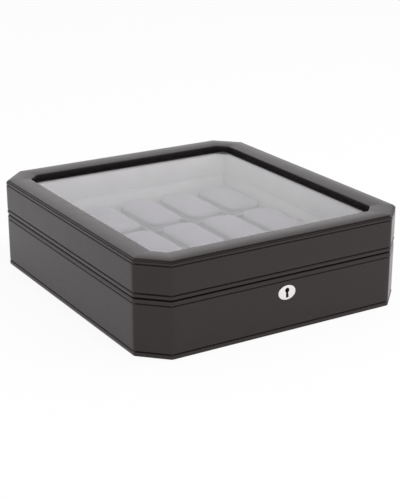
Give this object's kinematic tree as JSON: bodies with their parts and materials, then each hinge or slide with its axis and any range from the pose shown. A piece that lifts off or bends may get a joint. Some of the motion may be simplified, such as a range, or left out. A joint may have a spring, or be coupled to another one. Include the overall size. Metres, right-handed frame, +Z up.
{
  "type": "watch box",
  "caption": "Octagonal leather-covered watch box with a hinged glass-topped lid, a key lock in the front and rows of removable watch cushions inside.",
  "frame": {"origin": "on the resting surface, under the middle of the box", "axes": "+X along the front to the right, +Y from the front with the lock to the rear with the hinges, +Z up"},
  "size_m": [0.298, 0.3332, 0.0954],
  "materials": {
    "black_leather": "smooth fine-grained satin",
    "lining_suede": "short-napped suede cloth",
    "cushion_suede": "short-napped suede cloth",
    "black_felt": "felt",
    "board": "raw fibreboard",
    "clear_glass": "polished",
    "polished_nickel": "polished",
    "nickel_plate": "bright plated",
    "lock_steel": "pressed sheet"
  },
  "bodies": {
    "base": {"felt_base_pad": "black_felt", "base_bottom_board": "board", "base_front_wall": "board", "base_right_wall": "board", "base_rear_wall": "board", "base_left_wall": "board", "base_corner_walls": "board", "base_leather_wrap": "black_leather", "tray_floor_lining": "lining_suede", "tray_front_liner": "lining_suede", "tray_right_liner": "lining_suede", "tray_rear_liner": "lining_suede", "tray_left_liner": "lining_suede", "tray_rim_panel": "lining_suede", "column_divider_1": "lining_suede", "column_divider_2": "lining_suede", "column_divider_3": "lining_suede", "column_divider_4": "lining_suede", "row_divider_front": "lining_suede", "row_divider_rear": "lining_suede", "lock_case": "lock_steel", "lock_faceplate": "nickel_plate", "lock_escutcheon": "polished_nickel", "hinge_left_base_leaf": "nickel_plate", "hinge_right_base_leaf": "nickel_plate", "hinge_left_pin": "nickel_plate", "hinge_right_pin": "nickel_plate", "base_screws": "nickel_plate"},
    "lid": {"lid_front_rail": "board", "lid_right_rail": "board", "lid_rear_rail": "board", "lid_left_rail": "board", "lid_corner_rails": "board", "lid_top_frame": "board", "lid_leather_wrap": "black_leather", "padded_bezel": "black_leather", "window_glass": "clear_glass", "glazing_beads": "black_leather", "lid_front_liner": "lining_suede", "lid_right_liner": "lining_suede", "lid_rear_liner": "lining_suede", "lid_left_liner": "lining_suede", "lid_corner_liners": "lining_suede", "hinge_left_lid_leaf": "nickel_plate", "hinge_right_lid_leaf": "nickel_plate", "strike_plate": "nickel_plate", "lid_screws": "nickel_plate"},
    "lock_bolt": {"lock_bolt": "lock_steel"},
    "cushion_front_1": {"cushion_front_1": "cushion_suede"},
    "cushion_front_2": {"cushion_front_2": "cushion_suede"},
    "cushion_front_3": {"cushion_front_3": "cushion_suede"},
    "cushion_front_4": {"cushion_front_4": "cushion_suede"},
    "cushion_front_5": {"cushion_front_5": "cushion_suede"},
    "cushion_middle_1": {"cushion_middle_1": "cushion_suede"},
    "cushion_middle_2": {"cushion_middle_2": "cushion_suede"},
    "cushion_middle_3": {"cushion_middle_3": "cushion_suede"},
    "cushion_middle_4": {"cushion_middle_4": "cushion_suede"},
    "cushion_middle_5": {"cushion_middle_5": "cushion_suede"},
    "cushion_rear_1": {"cushion_rear_1": "cushion_suede"},
    "cushion_rear_2": {"cushion_rear_2": "cushion_suede"},
    "cushion_rear_3": {"cushion_rear_3": "cushion_suede"},
    "cushion_rear_4": {"cushion_rear_4": "cushion_suede"},
    "cushion_rear_5": {"cushion_rear_5": "cushion_suede"}
  },
  "joints": [
    {"name": "lid_hinge", "type": "hinge", "parent": "base", "child": "lid", "pos_m": [0, 0.1646, 0.057], "axis": [-1, 0, 0], "range_deg": [0, 95]},
    {"name": "bolt_slide", "type": "slide", "parent": "base", "child": "lock_bolt", "axis": [1, 0, 0], "range_m": [0, 0.005]},
    {"name": "cushion_front_1_lift", "type": "slide", "parent": "base", "child": "cushion_front_1", "axis": [0, 0, 1], "range_m": [0, 0.035]},
    {"name": "cushion_front_2_lift", "type": "slide", "parent": "base", "child": "cushion_front_2", "axis": [0, 0, 1], "range_m": [0, 0.035]},
    {"name": "cushion_front_3_lift", "type": "slide", "parent": "base", "child": "cushion_front_3", "axis": [0, 0, 1], "range_m": [0, 0.035]},
    {"name": "cushion_front_4_lift", "type": "slide", "parent": "base", "child": "cushion_front_4", "axis": [0, 0, 1], "range_m": [0, 0.035]},
    {"name": "cushion_front_5_lift", "type": "slide", "parent": "base", "child": "cushion_front_5", "axis": [0, 0, 1], "range_m": [0, 0.035]},
    {"name": "cushion_middle_1_lift", "type": "slide", "parent": "base", "child": "cushion_middle_1", "axis": [0, 0, 1], "range_m": [0, 0.035]},
    {"name": "cushion_middle_2_lift", "type": "slide", "parent": "base", "child": "cushion_middle_2", "axis": [0, 0, 1], "range_m": [0, 0.035]},
    {"name": "cushion_middle_3_lift", "type": "slide", "parent": "base", "child": "cushion_middle_3", "axis": [0, 0, 1], "range_m": [0, 0.035]},
    {"name": "cushion_middle_4_lift", "type": "slide", "parent": "base", "child": "cushion_middle_4", "axis": [0, 0, 1], "range_m": [0, 0.035]},
    {"name": "cushion_middle_5_lift", "type": "slide", "parent": "base", "child": "cushion_middle_5", "axis": [0, 0, 1], "range_m": [0, 0.035]},
    {"name": "cushion_rear_1_lift", "type": "slide", "parent": "base", "child": "cushion_rear_1", "axis": [0, 0, 1], "range_m": [0, 0.035]},
    {"name": "cushion_rear_2_lift", "type": "slide", "parent": "base", "child": "cushion_rear_2", "axis": [0, 0, 1], "range_m": [0, 0.035]},
    {"name": "cushion_rear_3_lift", "type": "slide", "parent": "base", "child": "cushion_rear_3", "axis": [0, 0, 1], "range_m": [0, 0.035]},
    {"name": "cushion_rear_4_lift", "type": "slide", "parent": "base", "child": "cushion_rear_4", "axis": [0, 0, 1], "range_m": [0, 0.035]},
    {"name": "cushion_rear_5_lift", "type": "slide", "parent": "base", "child": "cushion_rear_5", "axis": [0, 0, 1], "range_m": [0, 0.035]}
  ]
}
